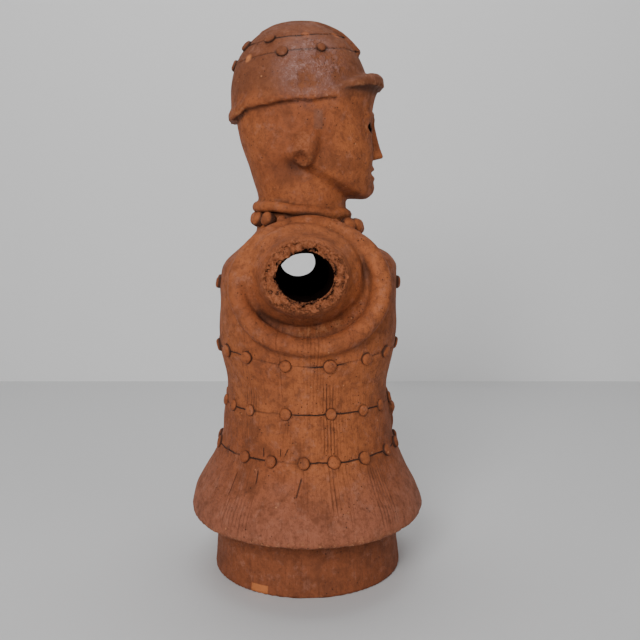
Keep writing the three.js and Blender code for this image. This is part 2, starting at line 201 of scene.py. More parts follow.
armholes = {
    "level": level(480),
    "half": 137 * unit,  # half width
    "above": 116 * unit,
    "below": 111 * unit,
    "lipOver": 3.5,  # the lip stands higher under the arm
    "sunk": 9,  # depth of the groove below the middle of the lip
}


def armhole(x, y, z, torso):
    x = np.abs(x)
    half = np.where(z > armholes["level"], armholes["above"], armholes["below"])
    u = (y - 0.5) / armholes["half"]
    v = (z - armholes["level"]) / half
    e = np.hypot(u, v) + 1e-6
    rise, beside = v / e, (u / e) ** 2
    under = np.clip(-rise, 0, 1)
    middle = (184 - 14 * beside - 66 * np.clip(rise, 0, 1) ** 1.5) * unit
    across = (e - 1) / (np.hypot(u / armholes["half"], v / half) / e)
    lip = np.hypot(across, (x - middle - armholes["lipOver"] * under) * 0.9)
    lip = lip - body["lipRadius"] - 0.5 * np.sin(5 * u + 2 * v)
    floor = middle - armholes["sunk"] + 1.5 * under + 3 * beside + (2 + 4 * beside) * ramp(e, 0.80, 1.0)
    dish = both(both(across, x - floor, 3), 20 - x, 2)
    torso = without(torso, both(across + 3, floor - x, 2), 2)  # the groove inside the lip
    half = body["stumpHalf"]
    q = np.hypot((y - body["armBack"]) / half[0], (z - body["armLevel"]) / half[1])
    flare = np.interp(x, [40, 76, 81, 86, 93, 101, 109, 114], [1.4, 1.4, 1.36, 1.25, 1.12, 1.05, 1.01, 0.97])
    stump = both((q - flare) * 32, x - body["stumpReach"], 2.2)
    stump = both(stump, 30 - x, 2)
    made = melt(melt(lip, dish, 3 + 6 * beside), stump, 2.5 + 8 * beside)
    return melt(torso, made, 2 + 4 * ramp(across, -2, 6))


def helmetFrame(y, z):
    tilt = math.radians(helmet["tilt"])
    away, up = y - helmet["back"], z - helmet["rim"]
    return away * math.cos(tilt) - up * math.sin(tilt), up * math.cos(tilt) + away * math.sin(tilt)


def bowl(x, y, rise, wide=1.0, deep=1.0, tall=1.0):
    q = (np.abs(x / (helmet["half"] * wide)) ** 2.1 + np.abs(y / (helmet["depth"] * deep)) ** 2.1) ** (1 / 2.1)
    full = helmet["full"]
    return q, ((q ** full + (np.clip(rise, 0, None) / (helmet["high"] * tall)) ** full) ** (1 / full) - 1) * 60


def helmetForm(x, y, z):
    y, rise = helmetFrame(y, z)
    q, dome = bowl(x, y, rise)
    behindHead = ramp(y, 46, 64)
    edge = -1.5 - 6.5 * behindHead + 0.6 * np.sin(y * 0.13) + 0.4 * np.sin(x * 0.21 + y * 0.31)
    dome = both(dome, edge + 1 - rise, 2.5)
    rim = both(both((q - 1) * 60 - 1.1 - 1.5 * behindHead, rise - edge - 7, 3), edge - rise, 1.5)
    crown = body["height"] - helmet["rim"] - helmet["high"] * math.cos(math.radians(helmet["tilt"]))
    larger = bowl(x, y + 2, rise, 1 + helmet["crestThick"] / helmet["half"],
                  1 + helmet["crestThick"] / (1.6 * helmet["depth"]), 1 + crown / helmet["high"])[1]
    ahead, behind = math.radians(helmet["crestAhead"]), math.radians(helmet["crestBehind"])
    crest = both(larger, np.abs(x) - helmet["crestWidth"] / 2 - 0.6 * np.sin(rise * 0.2), 2)
    crest = both(crest, -y * math.sin(ahead) - rise * math.cos(ahead), 3)
    crest = both(crest, y * math.sin(behind) + rise * math.cos(behind), 3)
    made = melt(melt(dome, rim, 5), crest, 1.2)
    # visor: a wedge whose size fades towards the temples
    r = np.hypot(x, y) + 1e-6
    out = r - r / np.maximum(q, 1e-3)
    turn = np.degrees(np.arctan2(np.abs(x) / helmet["half"], -y / helmet["depth"]))
    size = np.cos(np.radians(np.clip(turn / helmet["visorSpread"], 0, 1) * 90)) ** 0.7
    reach = 2 + (helmet["visorReach"] - 2) * size
    high = 7 + (helmet["visorRise"] - 7) * size
    drop = 3 + helmet["visorDrop"] * size  # how low the visor starts on the forehead
    slant = np.hypot(reach - 1, 0.30 * high + drop)
    below = ((out - 1) * (0.30 * high + drop) - (rise + drop) * (reach - 1)) / slant
    # hollowed underneath
    below = below + helmet["visorHollow"] * size ** 0.5 * np.sin(np.pi * np.clip(out / reach, 0, 1)) ** 0.8
    corner = (out - reach) * 0.25 * high + (rise - 0.75 * high) * 0.35 * reach
    corner = corner / np.hypot(0.25 * high, 0.35 * reach)
    visor = both(both(below, out - reach, 1.2), both(rise - high, corner, 3), 1.2)
    visor = both(both(visor, -9 - out, 2), (turn - helmet["visorSpread"]) * 1.2, 1)
    return melt(made, visor, 2.5)


# own plain face on thirds: brow, nose and mouth levels below are shares of its height
face = {"brow": level(814), "chin": level(645), "eyeOut": 20, "eyeHalf": (8.5, 3.0), "mouthHalf": (11, 2.2)}
face["tall"] = face["brow"] - face["chin"]
face["eyes"] = face["brow"] - 0.15 * face["tall"]
face["nose"] = face["brow"] - 0.49 * face["tall"]
face["mouth"] = face["brow"] - 0.67 * face["tall"]


ear = {
    "level": level(745),
    "back": 3,
    "slant": 0.25,
    "mound": (11, 12, 20),
    "pit": (13, 9.5, 12),
    "pitDrop": 17,
}


def bell(value, middle, width):
    return np.exp(-((value - middle) / width) ** 2)


def faceRelief(x, z):
    a = np.abs(x)
    down = np.clip((face["brow"] - z) / (face["brow"] - face["nose"]), 0, 1)
    arch = face["brow"] + 1 - 5 * ((a - 15) / 20) ** 2
    brow = 2.4 * bell(z, arch, 3.4) * ramp(-a, -36, -26) * ramp(a, -2, 5)
    noseHalf = 4.5 + 4.2 * down ** 1.6
    proud = (1.5 + 8.5 * down ** 1.15) * ramp(z, face["nose"] - 2.2, face["nose"] + 1.5)
    nose = proud * np.clip(1 - (a / noseHalf) ** 2.2, 0, 1) ** 0.8
    nose = nose * ramp(-z, -face["brow"] - 3, -face["brow"] + 2)
    wings = 2.6 * bell(a, 6.5, 3) * bell(z, face["nose"] + 3, 3.4)
    sockets = -2.6 * bell(a, face["eyeOut"] - 2, 10) * bell(z, face["eyes"] + 1, 6)
    lids = 1.5 * bell(np.hypot((a - face["eyeOut"]) / 11, (z - face["eyes"]) / 5.2), 1, 0.28)
    cheeks = 1.8 * bell(a, 24, 11) * bell(z, face["nose"] + 2, 13)
    lips = 2.0 * ramp(-a, -15, -8) * (bell(z, face["mouth"] + 4, 2.4) + bell(z, face["mouth"] - 4.2, 2.6))
    chin = 2.2 * bell(a, 0, 12) * bell(z, face["chin"] + 11, 7)
    return brow + nose + wings + sockets + lids + cheeks + lips + chin


def headCore(x, y, z):
    # the neck column shows below a jaw line that runs from under the ear down to the chin
    jawLine = level(632) + np.clip(y + 58, 0, 72) * 0.55
    jaw = ramp(z - jawLine, -5, 9) * ramp(-y, -40, 0) + ramp(y, 0, 40)
    r, reach, lean = reachOf(headTable, x, y, z)
    neck = reachOf(headTable, x, y, np.full_like(z, level(637)))[1]
    narrow = 1 - 0.10 * ramp(-z, -level(760), -level(660)) * ramp(-y, 0, 50) * np.clip(np.abs(x) / r, 0, 1)
    reach = neck + (reach * narrow - neck) * np.clip(jaw, 0, 1)
    return (r - reach) * lean * 0.9


def headForm(x, y, z):
    head = headCore(x, y, z) - faceRelief(x, z) * ramp(-y, 12, 34)
    head = both(head, level(592) - z, 3)
    head = both(head, z - level(862), 3)
    a = np.abs(x)
    # what is left of the ears: a low mound with a hollow behind and under it
    tilt = (z - ear["level"]) * ear["slant"]
    mound = lump(a, y + tilt, z, (52, ear["back"], ear["level"]), ear["mound"])
    head = melt(head, mound, 4)
    pit = lump(a, y + tilt, z, (61, ear["back"] + 4, ear["level"] - ear["pitDrop"]), ear["pit"])
    return without(head, pit, 4)


roll = {"half": (89 * unit, 92 * unit), "back": 10 * unit, "level": level(625), "radius": 5}


def collar(x, y, z):
    u, v = x / roll["half"][0], (y - roll["back"]) / roll["half"][1]
    e = np.hypot(u, v) + 1e-6
    across = (e - 1) / (np.hypot(u / roll["half"][0], v / roll["half"][1]) / e)
    turn = np.arctan2(v, u)
    high = roll["level"] + 4 * v / e + 0.8 * np.sin(3 * turn + 0.6) + 0.4 * np.sin(8 * turn)
    return np.hypot(across, z - high) - roll["radius"]


armBore = {"half": (22.4, 19.4), "less": (3.4, 3.2), "lift": 0.6, "liftFar": 2.6}  # half sizes at the right arm


def hollow(x, y, z):
    wall = body["wall"]
    top, low = level(492), level(160)
    r = np.hypot(x, y) + 1e-6
    drum = r - np.interp(z, [0, body["hem"]], [body["footRadius"] - wall,
                                              body["footRadius"] - body["footTaper"] - wall])
    chest = lofted(torsoTable, x, y, np.clip(z, low, top)) + wall
    mix = ramp(z, body["hem"], low)
    room = drum * (1 - mix) + chest * mix
    closing = np.clip(z - top, 0, None) * 1.9
    room = both(room + closing * 0.8, z - top - wall * 2.6, 8)
    neck = np.hypot(x, y - body["neckBack"]) - body["neckBore"]
    neck = both(neck, level(480) - z, 3)
    neck = both(neck, z - level(690), 3)
    skull = lofted(headTable, x, y, np.clip(z, level(690), level(850))) + wall + 1
    skull = both(both(skull, level(676) - z, 8), headCore(x, y, z) + wall - 1, 3)
    dome = lump(x, y, z, (0, 5, level(835)), (helmet["half"] - wall, helmet["depth"] - wall, 62))
    skull = both(skull, z - level(850), 2)
    skull = melt(skull, both(dome, level(820) - z, 2), 4)
    far = ramp(x, -100, 100)  # the bore narrows a little towards the left arm
    high = body["armLevel"] + armBore["lift"] + armBore["liftFar"] * far
    wide, tall = [half - less * far for half, less in zip(armBore["half"], armBore["less"])]
    arms = np.hypot((y - body["armBack"]) / wide, (z - high) / tall)
    arms = both((arms - 1) * 18, 34 - np.abs(x), 2)
    made = melt(melt(melt(room, neck, 6), skull, 5), arms, 1.5)
    # cut-out eyes and mouth
    a = np.abs(x)
    half, tall = face["eyeHalf"]
    eye = np.abs(z - face["eyes"]) - tall * (1 - ((a - face["eyeOut"]) / half) ** 2)
    half, tall = face["mouthHalf"]
    mouth = np.abs(z - face["mouth"] - 0.004 * x * x) - tall * (1 - (x / half) ** 2)
    slits = both(np.minimum(eye, mouth) * 0.8, y + 20, 1)
    return melt(made, slits, 0.8)


def knot(x, y, z):
    front = -np.interp(level(205), torsoTable[0], torsoTable[1][0])
    high = level(205)
    made = lump(x, y, z, (0, front, high), (6, 5, 6))
    for side in (-1, 1):
        made = melt(made, lump(x, y, z, (10 * side, front + 0.3, high + 5), (10, 4.5, 6)), 1.5)
        made = melt(made, lump(x, y, z, (6 * side, front + 0.5, high - 11), (4.5, 4, 11)), 1.5)
    return made


def clay(x, y, z):
    made = armhole(x, y, z, footAndSkirt(x, y, z))
    made = melt(made, headForm(x, y, z), 6)
    made = melt(made, helmetForm(x, y, z), 1.6)
    made = melt(made, collar(x, y, z), 2.5)
    made = melt(made, knot(x, y, z), 1.5)
    return both(made, -hollow(x, y, z), 1.6)


# cuts that are finer than the grid
cuts = {
    "rowWidth": 0.5,
    "rowDepth": 1.2,
    # slits under and over the lowest row: turn from the right side, top, turn, bottom, half width
    "slits": [
        (-30.2, 116, -29.7, 105, 0.5), (-5.2, 113.5, -7.7, 97.5, 0.6), (-28.7, 136, -28.2, 128, 0.45),
        (-17.7, 136.5, -17.7, 129.5, 0.35), (-13.2, 137, -15.2, 130, 0.35), (-44, 112, -45, 92, 0.3),
    ],
}


def rowLevel(row, turn):  # turn is from the right side towards the front, in radians
    high, dip = pelletRows[row][:2]
    return level(high - dip * np.cos(turn) ** 4)


def grooves(x, y, z):
    depth = np.abs(lofted(torsoTable, x, y, z))
    turn = np.arctan2(-y, -x)
    made = np.full(x.shape, 9.0)
    for row in range(3):
        thin = 0.25 * np.sin(turn * (7 + row)) + 0.2 * np.sin(turn * 17 + row)
        wave = 0.7 * np.sin(turn * 9 + row * 2) + 0.4 * np.sin(turn * 23)
        line = np.hypot(z - rowLevel(row, turn) + wave, depth / cuts["rowDepth"]) - cuts["rowWidth"] - thin
        made = np.minimum(made, line)
    for start, top, stop, bottom, half in cuts["slits"]:
        share = np.clip((top - z) / (top - bottom), 0, 1)
        off = (np.degrees(turn) - start - (stop - start) * share) * math.pi / 180 * np.hypot(x, y)
        along = np.clip(np.abs(z - (top + bottom) / 2) - (top - bottom) / 2, 0, None)
        made = np.minimum(made, np.sqrt(off ** 2 + along ** 2 + (depth / 2) ** 2) - half)
    away, rise = helmetFrame(y, z)
    q, dome = bowl(x, away, rise)
    turn = np.arctan2(-away, -x)
    for high, count, first, lost in helmetRows:
        wave = 0.5 * np.sin(turn * 5) + 0.3 * np.sin(turn * 13)
        line = np.hypot(rise - high + wave, np.abs(dome) / 1.2) - 0.6 - 0.15 * np.sin(turn * 11)
        made = np.minimum(made, line)
    return made


def clayCut(x, y, z):
    return without(clay(x, y, z), grooves(x, y, z), 0.5)


def takeMesh():
    step = body["step"]
    low = np.array([-124.0, -116.0, -4.0])
    high = np.array([124.0, 116.0, 524.0])
    count = np.ceil((high - low) / step).astype(int)
    axes = [low[i] + step * np.arange(count[i]) for i in range(3)]
    values = np.empty(tuple(count), np.float32)
    for k in range(0, count[2], 24):
        x, y, z = np.meshgrid(axes[0], axes[1], axes[2][k:k + 24], indexing="ij")
        values[:, :, k:k + 24] = clay(x, y, z)
    grid = openvdb.FloatGrid(100.0)
    grid.copyFromArray(np.clip(values, -3 * step, 3 * step))
    points, quads = grid.convertToQuads(isovalue=0.0)
    return low + points * step, quads


def settle(points, field, rounds):  # slides the points onto the surface
    reach = 0.35
    for _ in range(rounds):
        x, y, z = points.T
        value = field(x, y, z)
        slope = np.stack([field(x + reach, y, z) - field(x - reach, y, z),
                          field(x, y + reach, z) - field(x, y - reach, z),
                          field(x, y, z + reach) - field(x, y, z - reach)], axis=1) / (2 * reach)
        steep = np.maximum((slope ** 2).sum(1), 0.15)
        move = np.clip(value / steep, -1.5, 1.5)[:, None] * slope
        points = points - move
    return points, slope / np.sqrt((slope ** 2).sum(1, keepdims=True) + 1e-9)


points, quads = takeMesh()
print("mesh taken", len(points), "points", round(time.time() - started, 1), "s")
points, normals = settle(points, clay, 3)
corner = points[quads]
volume = np.einsum("ij,ij->i", corner[:, 0], np.cross(corner[:, 1], corner[:, 2])).sum()
if volume < 0:
    quads = quads[:, ::-1]
figureMesh = bpy.data.meshes.new("haniwa_clay")
figureMesh.from_pydata((points * 0.001).tolist(), [], quads.tolist())
figure = bpy.data.objects.new("haniwa_clay", figureMesh)
bpy.context.scene.collection.objects.link(figure)

# fewer faces inside the hollow
x, y, z = points.T
inside = (np.abs(hollow(x, y, z)) < 1.2) & (z > 8) & (np.abs(x) < 92) & (y > -40)
group = figure.vertex_groups.new(name="inside")
group.add(np.nonzero(inside)[0].tolist(), 1.0, "REPLACE")
thin = figure.modifiers.new("thin", "DECIMATE")
thin.vertex_group = "inside"
thin.ratio = 1 - (1 - body["innerKeep"]) * inside.mean()
thin.use_collapse_triangulate = False
plain = bpy.data.meshes.new_from_object(figure.evaluated_get(bpy.context.evaluated_depsgraph_get()))
figure.modifiers.clear()
figure.vertex_groups.clear()
figure.data = plain
figureMesh = plain
figureMesh.name = "haniwa_clay"
print("hollow thinned", len(figureMesh.polygons), "faces", round(time.time() - started, 1), "s")


def pointsOf(mesh):
    flat = np.empty(len(mesh.vertices) * 3)
    mesh.vertices.foreach_get("co", flat)
    return flat.reshape(-1, 3) * 1000


def refine(mesh, chosen, cuts=1):  # splits the edges whose both ends are chosen
    work = bmesh.new()
    work.from_mesh(mesh)
    work.verts.ensure_lookup_table()
    edges = [e for e in work.edges if chosen[e.verts[0].index] and chosen[e.verts[1].index]]
    bmesh.ops.subdivide_edges(work, edges=edges, cuts=cuts, use_grid_fill=True)
    work.to_mesh(mesh)
    work.free()


def brokenEnd(points):  # 1 on the fractured ends of the arms
    x, y, z = points.T
    return ramp(np.abs(x), 104, 109) * (z > 240)


def hollowWall(points):  # 1 on the walls of the hollow
    x, y, z = points.T
    return ramp(-np.abs(hollow(x, y, z)), -2.5, -1.0) * ramp(-np.abs(x), -112.5, -110) * ramp(z, 2, 20)


points = pointsOf(figureMesh)
near = grooves(*points.T)
x, y, z = points.T
refine(figureMesh, (near < 3.0) | (brokenEnd(points) > 0.3) | (
    (y < -48) & (z > 360) & (z < 440) & (np.abs(x) < 34)))
points = pointsOf(figureMesh)
refine(figureMesh, (grooves(*points.T) < 1.1) | (brokenEnd(points) > 0.5))
print("refined", len(figureMesh.polygons), "faces", round(time.time() - started, 1), "s")

points = pointsOf(figureMesh)
points, normals = settle(points, clayCut, 3)


def noiseOver(points, size, seed=0.0):
    return np.array([noise.noise(Vector(p)) for p in (points / size + seed).tolist()])


def crumbsOver(points, size):  # 1 on a crumb, 0 in the pits between crumbs
    made = []
    for p in (points / size).tolist():
        place = Vector(p)
        place += noise.noise_vector(place * 1.7) * 0.55
        distances = noise.voronoi(place)[0]
        made.append(min(1.0, (distances[1] - distances[0]) / 0.45))
    return np.array(made)


# hand-made unevenness, then the broken ends and the chipped hem
rough = {
    "wide": 0.8,
    "middle": 0.35,
    "fine": 0.16,
    "broken": 2.4,
    "crumbs": 4.6,
    "crumbSizes": ((5.4, 0.5), (2.9, 0.3), (1.6, 0.2)),  # size and share
    "hem": 0.9,
    "ear": 0.8,
    "seed": 7,  # without it the crumbs lie elsewhere in each run
}
noise.seed_set(rough["seed"])
shift = (rough["wide"] * noiseOver(points, 36) + rough["middle"] * noiseOver(points, 15, 2)
         + rough["fine"] * noiseOver(points, 6, 7))
x, y, z = points.T
shift = shift * ramp(z, 0.5, 6)
broken = brokenEnd(points)
at = np.nonzero(broken > 0.02)[0]
lumps = noiseOver(points[at], 12, 3) + 0.8 * noiseOver(points[at], 5.5, 5)
crumbs = sum(share * crumbsOver(points[at], size) for size, share in rough["crumbSizes"])
sparse = ramp(noiseOver(points[at], 7, 30), -0.25, 0.2)
shift[at] += broken[at] * rough["broken"] * (lumps - 0.35)
shift[at] -= broken[at] * rough["crumbs"] * (1 - crumbs) * (0.55 + 0.45 * sparse)
# painted shade in the pits between the crumbs of the breaks
pitShade = np.zeros(len(points))
pitShade[at] = broken[at] * ramp(1 - crumbs, 0.50, 0.95) * (0.2 + 0.8 * sparse)
earBreak = ramp(-lump(np.abs(x), y, z, (56, ear["back"] + 2, ear["level"] + 2), (10, 9, 13)), -1, 2)
at = np.nonzero(earBreak > 0.02)[0]
earLumps = noiseOver(points[at], 4, 8) - 0.6 * (1 - crumbsOver(points[at], 4.5))
shift[at] += rough["ear"] * earBreak[at] * earLumps
hemEdge = ramp(-np.abs(z - 58), -6, -1) * ramp(np.hypot(x, y), 100, 106)
at = np.nonzero(hemEdge > 0.02)[0]
shift[at] -= hemEdge[at] * rough["hem"] * np.clip(noiseOver(points[at], 5, 21) - 0.05, 0, 1) * 2
points = points + normals * shift[:, None]
points[:, 2] = np.maximum(points[:, 2], 0)
figureMesh.vertices.foreach_set("co", (points * 0.001).ravel())


def surfaceSpot(field, guess):  # the nearest point of the surface, and its outward direction
    spot, facing = settle(np.array([guess], float), field, 8)
    return spot[0], facing[0]


def uneven(n):
    return math.sin(n * 12.9898 + 4.1) * math.cos(n * 7.233 + 1.7)


def towards(turn, reach, z):
    return (-reach * math.cos(turn), -reach * math.sin(turn), z)


def torsoGuess(row, turn):  # where a pellet of a row sits on the cuirass
    high, dip = pelletRows[row][:2]
    z = float(level(high - dip * math.cos(turn) ** 4))
    reach = reachOf(torsoTable, *[np.array([v]) for v in towards(turn, 1, z)])[1][0]
    return towards(turn, reach, z)


def helmetGuess(rise, turn):
    full, tilt = helmet["full"], math.radians(helmet["tilt"])
    share = (1 - (rise / helmet["high"]) ** full) ** (1 / full)
    away = -helmet["depth"] * share * math.sin(turn)
    return (-helmet["half"] * share * math.cos(turn),
            helmet["back"] + away * math.cos(tilt) + rise * math.sin(tilt),
            helmet["rim"] + rise * math.cos(tilt) - away * math.sin(tilt))


pelletSpots, scars = [], []
for row, (high, dip, count, first, lost, nudges) in enumerate(pelletRows):
    for i in range(count):
        turn = math.radians(first + 360 / count * i + nudges.get(i, 0))
        if i in lost and row > 0:
            continue
        spot, facing = surfaceSpot(clay, torsoGuess(row, turn))
        if i in lost:
            scars.append(spot)
            continue
        n = row * 31 + i
        grow = 1 + 0.08 * uneven(n)
        lean = 0.14 * np.array([uneven(n + 1), uneven(n + 2), uneven(n + 3)])
        pelletSpots.append((spot - facing * (1.2 + 0.6 * uneven(n + 5)), facing + lean,
                            (grow, grow * (1 + 0.1 * uneven(n + 9)), 1)))
for rise, count, first, lost in helmetRows:
    for i in range(count):
        turn = math.radians(first + 360 / count * i)
        if math.sin(turn) > 0 and abs(math.cos(turn)) * helmet["half"] < helmet["crestWidth"] + 2:
            continue
        spot, facing = surfaceSpot(clay, helmetGuess(rise, turn))
        if i in lost:
            scars.append(spot)
            continue
        kept = 0.8 if (rise, i) == (41, 1) else 1  # one is chipped down
        pelletSpots.append((spot - facing * 1.3, facing, (0.92 * kept, 0.96 * kept, 0.98)))

# what the finish needs to know at each point: how much shade to paint on it (more where it is enclosed), how
# broken, how pitted, how worn (a worn edge also gets a painted highlight)
shading = {
    "reaches": ((2.5, 0.35), (6, 0.35), (14, 0.3)),  # how far it looks outwards, and the share
    "underside": 0.55,
    "visor": 0.62,
    # the walls of the hollow, darkened nearly black
    "darkest": 0.95,
    "pelletRing": 0.56,
}
# painted shade: darker where the surface is enclosed, less on the breaks
shade = np.zeros(len(points))
for far, weight in shading["reaches"]:
    shade += weight * np.clip(1 - clay(*(points + normals * far).T) / far, 0, 1)
shade *= 1 - 0.35 * broken
x, y, z = points.T
beside = ramp(np.abs(y), 24, 38) * ramp(np.abs(x), 52, 62) * ramp(z, 235, 255) * ramp(-z, -345, -330)
shade *= 1 - 0.2 * beside  # the groove is open to the light in front of and behind the arms
# painted shade on faces that turn downwards
under = np.clip(-normals[:, 2] - 0.1, 0, 1) * (1 - 0.7 * broken)
shade = np.maximum(shade, shading["underside"] * under)
# painted shade under the visor
belowVisor = ramp(z, level(808), level(820)) * ramp(-z, -level(880), -level(866)) * ramp(-y, 24, 40)
shade = np.maximum(shade, shading["visor"] * ramp(-normals[:, 2], 0.10, 0.45) * belowVisor)
# the walls of the hollow darkened nearly black
shade = np.maximum(shade, shading["darkest"] * hollowWall(points - normals * shift[:, None]))
edges = np.clip(1 + clay(*(points - normals * 3.5).T) / 3.5, 0, 1) * (1 - shade)  # 1 on a sharp outer edge, kept out of the painted shade
for spot, *_ in pelletSpots:  # painted shade in a ring round each pellet, where it meets the clay
    near = np.nonzero(np.abs(points - spot).max(axis=1) < 9)[0]
    apart = np.sqrt(((points[near] - spot) ** 2).sum(axis=1))
    shade[near] = np.maximum(shade[near], shading["pelletRing"] * ramp(-apart, -7.5, -6.0))
for name, values in (("paintedShade", shade), ("broken", np.maximum(broken, 0.55 * earBreak)), ("pit", pitShade),
                     ("worn", edges)):
    layer = figureMesh.attributes.new(name, "FLOAT", "POINT")
    layer.data.foreach_set("value", values.astype(np.float32))
figureMesh.polygons.foreach_set("use_smooth", [True] * len(figureMesh.polygons))
figureMesh.update()
print("figure formed", len(figureMesh.polygons), "faces", round(time.time() - started, 1), "s")


# material helpers
def makeMaterial(name):
    material = bpy.data.materials.new(name)
    material.use_nodes = True
    tree = material.node_tree
    tree.nodes.clear()
    output = tree.nodes.new("ShaderNodeOutputMaterial")
    shader = tree.nodes.new("ShaderNodeBsdfPrincipled")
    tree.links.new(shader.outputs["BSDF"], output.inputs["Surface"])
    return material, tree, shader


def feed(tree, socket, value):
    if hasattr(value, "is_output"):
        tree.links.new(value, socket)
    else:
        socket.default_value = value


def mathOf(tree, kind, a, b=0.0):
    node = tree.nodes.new("ShaderNodeMath")
    node.operation = kind
    feed(tree, node.inputs[0], a)
    feed(tree, node.inputs[1], b)
    return node.outputs[0]


def noiseTexture(tree, place, scale, detail=3.0, roughness=0.55, distortion=0.0):
    node = tree.nodes.new("ShaderNodeTexNoise")
    feed(tree, node.inputs["Vector"], place)
    node.inputs["Scale"].default_value = scale
    node.inputs["Detail"].default_value = detail
    node.inputs["Roughness"].default_value = roughness
    node.inputs["Distortion"].default_value = distortion
    return node.outputs["Fac"]


def between(tree, value, low, high, start=0.0, stop=1.0):
    node = tree.nodes.new("ShaderNodeMapRange")
    node.interpolation_type = "SMOOTHSTEP"
    feed(tree, node.inputs["Value"], value)
    for socket, number in zip(("From Min", "From Max", "To Min", "To Max"), (low, high, start, stop)):
        node.inputs[socket].default_value = number
    return node.outputs["Result"]


def mixColour(tree, share, a, b):
    node = tree.nodes.new("ShaderNodeMix")
    node.data_type = "RGBA"
    feed(tree, node.inputs[0], share)
    feed(tree, node.inputs[6], a)
    feed(tree, node.inputs[7], b)
    return node.outputs[2]


def nearPoint(tree, place, centre, radius):  # 1 at a point on the figure, 0 beyond a radius
    node = tree.nodes.new("ShaderNodeVectorMath")
    node.operation = "DISTANCE"
    feed(tree, node.inputs[0], place)
    node.inputs[1].default_value = centre
    return between(tree, node.outputs["Value"], radius, radius * 0.35)


# fired clay
clayLook = {
    "base": (0.300, 0.081, 0.026, 1),
    "orange": (0.390, 0.113, 0.035, 1),
    "brown": (0.125, 0.036, 0.015, 1),
    "pink": (0.33, 0.112, 0.061, 1),
    "bloom": (0.38, 0.165, 0.105, 1),  # pale dusty bloom
    "helmet": (0.165, 0.054, 0.023, 1),
    "dark": (0.022, 0.010, 0.007, 1),
    # near black for the darkest painted shade and the walls of the hollow
    "darkest": (0.004, 0.003, 0.003, 1),
    "foot": (0.235, 0.062, 0.019, 1),
    "chip": (0.62, 0.27, 0.12, 1),
    "fresh": (0.52, 0.175, 0.075, 1),
    "scar": (0.62, 0.21, 0.07, 1),
    "patch": (0.62, 0.20, 0.06, 1),  # the pale squared patch on the foot
    "grey": (0.13, 0.065, 0.045, 1),
    # tone of the burnished helmet, partly a painted sheen, and a painted highlight
    "burnishAndSheen": (0.24, 0.105, 0.085, 1),
    "paintedHighlight": (0.48, 0.29, 0.26, 1),
    "burnished": ((-57, -3, 470), 44),  # middle and reach
    "combPitch": 2.9,  # millimetres between the comb's teeth at the waist
    "rowLine": 0.62,  # half width of the scored lines that join the pellets
    "roughness": 0.78,
}
# combed swaths: turn from and to, level from and to, strength
combed = [
    (-46, -33, 160, 192, 0.8), (5.5, 15.5, 128, 196, 1.0), (8, 14, 84, 134, 1.0), (31, 45, 64, 118, 0.8),
    (-46, -28, 66, 98, 0.7), (98, 112, 120, 190, 0.8), (150, 163, 90, 180, 0.9),
    (-118, -104, 100, 180, 0.8),
]


